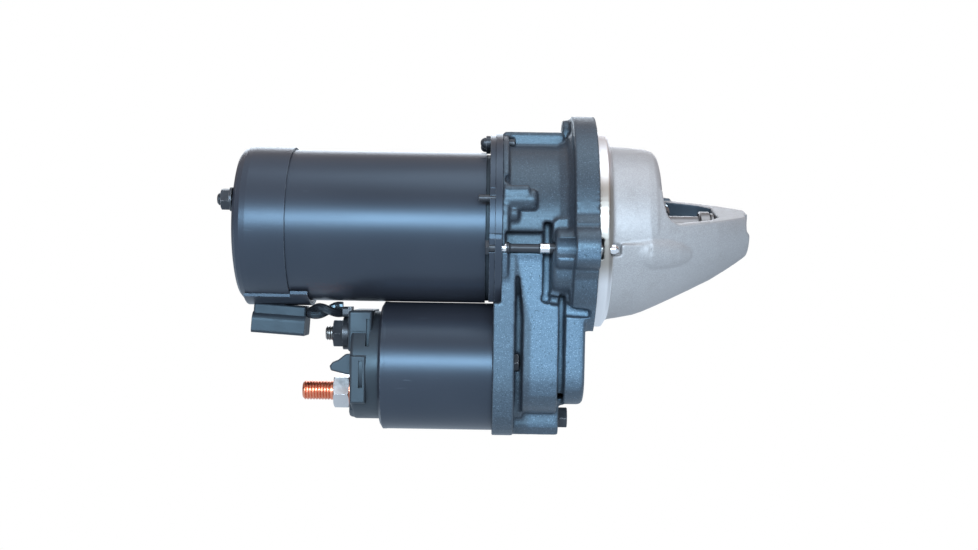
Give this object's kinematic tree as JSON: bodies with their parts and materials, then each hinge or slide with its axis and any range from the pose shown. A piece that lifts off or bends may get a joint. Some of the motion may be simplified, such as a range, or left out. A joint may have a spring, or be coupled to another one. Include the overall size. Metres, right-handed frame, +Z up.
{
  "type": "starter motor",
  "caption": "Planetary-reduction engine starter motor: black motor and solenoid, cast drive end with two-ear flange, bare aluminium nose and a sliding pinion.",
  "frame": {"origin": "centre of the pilot ring on the flange's front mounting face, on the motor and pinion axis", "axes": "+X along the motor axis from the motor towards the pinion nose; +Z up with the solenoid hanging below on -Z; +Y completes the right-handed frame"},
  "size_m": [0.2198, 0.1128, 0.1345],
  "materials": {
    "satin_black_paint": "satin black enamel over sheet steel",
    "rough_black_paint": "satin black enamel over rough sand-cast metal",
    "cast_aluminium": "bare fine-grained cast aluminium with a machined pilot ring",
    "zinc_plate": "bright zinc plate",
    "black_fastener": "black oxide with worn corners",
    "copper": "bare copper",
    "terminal_steel": "tinned steel",
    "black_plastic": "moulded glass-filled nylon",
    "black_rubber": "moulded rubber",
    "lead_sleeve": "glossy varnished sleeve over the brush leads",
    "machined_steel": "machined and hardened steel",
    "spring_steel": "drawn spring wire",
    "lamination": "stacked electrical steel",
    "ferrite": "sintered ferrite",
    "bronze": "sintered bronze",
    "carbon": "copper graphite",
    "brush_carrier": "phenolic plate with moulded boxes"
  },
  "bodies": {
    "housing": {"yoke": "satin_black_paint", "rear_cap": "satin_black_paint", "solenoid_can": "satin_black_paint", "centre_bracket": "satin_black_paint", "gasket_plate": "satin_black_paint", "lead_bracket": "satin_black_paint", "drive_end_housing": "rough_black_paint", "nose_housing": "cast_aluminium", "battery_nut": "zinc_plate", "bolt_collars": "zinc_plate", "long_bolts": "zinc_plate", "motor_studs": "black_fastener", "stud_nuts": "black_fastener", "bracket_screws": "black_fastener", "solenoid_screws": "black_fastener", "motor_terminal_nut": "black_fastener", "ring_terminal": "black_fastener", "locating_pins": "black_fastener", "battery_stud": "copper", "battery_washer": "copper", "coil_winding": "copper", "trigger_terminal": "copper", "motor_terminal_stud": "terminal_steel", "solenoid_cap": "black_plastic", "coil_bobbin": "black_plastic", "lever_support": "black_plastic", "lead_block": "black_rubber", "front_seal_ring": "black_rubber", "brush_lead": "lead_sleeve", "lever_pin": "machined_steel", "solenoid_core": "machined_steel", "ring_gear": "machined_steel", "thrust_plate": "machined_steel", "brush_springs": "spring_steel", "field_magnets": "ferrite", "nose_bush": "bronze", "centre_bush": "bronze", "rear_bush": "bronze", "brushes": "carbon", "brush_plate": "brush_carrier"},
    "armature": {"armature_shaft": "machined_steel", "armature_core": "lamination", "armature_windings": "copper", "commutator_bars": "copper", "commutator_hub": "black_plastic"},
    "carrier": {"output_shaft": "machined_steel", "planet_pins": "machined_steel", "stop_collar": "machined_steel"},
    "planet_1": {"planet_gear_1": "machined_steel"},
    "planet_2": {"planet_gear_2": "machined_steel"},
    "planet_3": {"planet_gear_3": "machined_steel"},
    "clutch": {"clutch_shell": "machined_steel", "clutch_rollers": "machined_steel", "fork_collar": "machined_steel"},
    "pinion": {"pinion": "machined_steel"},
    "lever": {"fork_lever": "machined_steel"},
    "plunger": {"plunger": "machined_steel", "return_spring": "spring_steel"},
    "contact": {"moving_contact": "copper", "contact_spring": "spring_steel"}
  },
  "joints": [
    {"name": "armature_spin", "type": "hinge", "parent": "housing", "child": "armature", "pos_m": [-0.095, 0, 0], "axis": [1, 0, 0], "continuous": true},
    {"name": "output_spin", "type": "hinge", "parent": "housing", "child": "carrier", "pos_m": [-0.0425, 0, 0], "axis": [1, 0, 0], "continuous": true},
    {"name": "planet_1_spin", "type": "hinge", "parent": "carrier", "child": "planet_1", "pos_m": [-0.0568, 0.0138, 0], "axis": [1, 0, 0], "continuous": true},
    {"name": "planet_2_spin", "type": "hinge", "parent": "carrier", "child": "planet_2", "pos_m": [-0.0568, -0.0069, 0.01195], "axis": [1, 0, 0], "continuous": true},
    {"name": "planet_3_spin", "type": "hinge", "parent": "carrier", "child": "planet_3", "pos_m": [-0.0568, -0.0069, -0.01195], "axis": [1, 0, 0], "continuous": true},
    {"name": "plunger_slide", "type": "slide", "parent": "housing", "child": "plunger", "axis": [-1, 0, 0], "range_m": [0, 0.00965], "deforming": ["return_spring"]},
    {"name": "lever_pivot", "type": "hinge", "parent": "housing", "child": "lever", "pos_m": [-0.022, 0, -0.034], "axis": [0, 1, 0], "range_deg": [0, 22]},
    {"name": "drive_slide", "type": "slide", "parent": "carrier", "child": "clutch", "axis": [1, 0, 0], "range_m": [0, 0.01297]},
    {"name": "pinion_overrun", "type": "hinge", "parent": "clutch", "child": "pinion", "pos_m": [0.02, 0, 0], "axis": [1, 0, 0], "continuous": true},
    {"name": "contact_slide", "type": "slide", "parent": "housing", "child": "contact", "axis": [-1, 0, 0], "range_m": [0, 0.0022], "deforming": ["contact_spring"]}
  ],
  "couplings": [
    {"joint": "output_spin", "follows": "armature_spin", "ratio": 0.22917},
    {"joint": "planet_1_spin", "follows": "armature_spin", "ratio": -0.65224},
    {"joint": "planet_2_spin", "follows": "armature_spin", "ratio": -0.65224},
    {"joint": "planet_3_spin", "follows": "armature_spin", "ratio": -0.65224},
    {"joint": "lever_pivot", "follows": "plunger_slide", "rad_per_m": 39.77},
    {"joint": "drive_slide", "follows": "plunger_slide", "ratio": 1.3434},
    {"joint": "contact_slide", "follows": "plunger_slide", "ratio": 0.22775}
  ]
}
